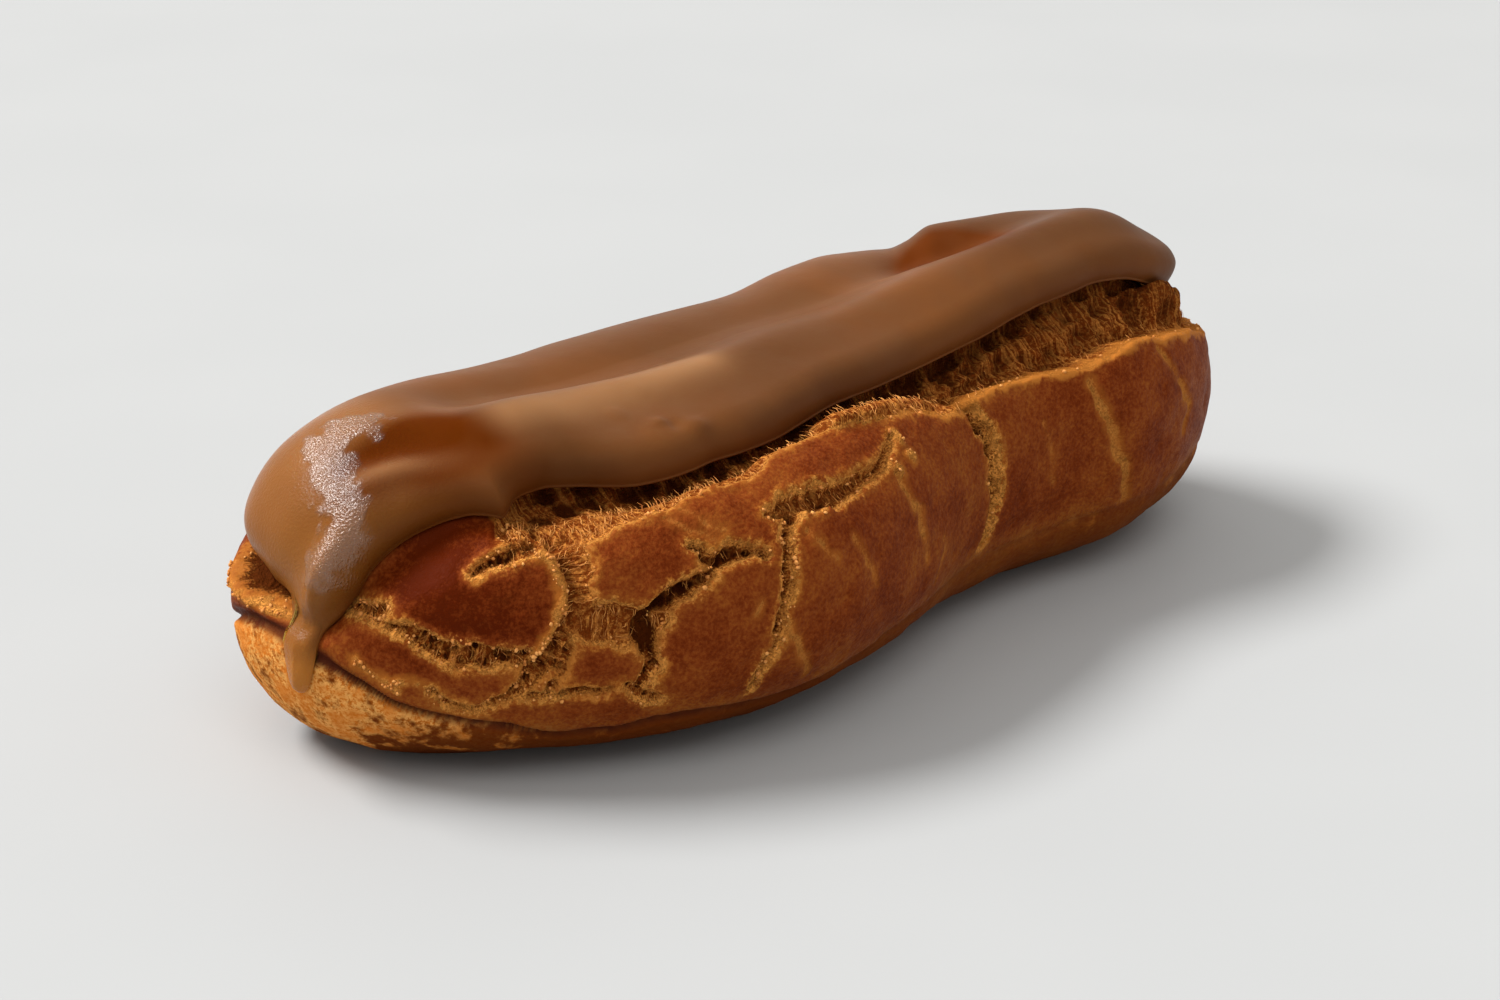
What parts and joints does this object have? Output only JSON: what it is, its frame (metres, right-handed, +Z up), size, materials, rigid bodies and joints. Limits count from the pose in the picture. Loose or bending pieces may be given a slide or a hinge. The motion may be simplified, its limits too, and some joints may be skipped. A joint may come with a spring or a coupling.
{
  "type": "eclair",
  "caption": "Whole coffee eclair: browned, cracked choux shell with a foot, topped with thick glossy coffee fondant that drips down the near end",
  "frame": {"origin": "on the resting surface, under the middle of the eclair's box", "axes": "+X runs along the eclair, from the near end with the drip to the far end; +Y points away from the swollen side with the torn groove; +Z is up."},
  "size_m": [0.1424, 0.0608, 0.0406],
  "materials": {
    "choux": "egg-washed baked choux: satin brown plates, torn golden crumb between them",
    "fondant": "coffee fondant, satin to wet gloss"
  },
  "bodies": {
    "root": {"choux_shell": "choux", "icing": "fondant"}
  },
  "joints": []
}
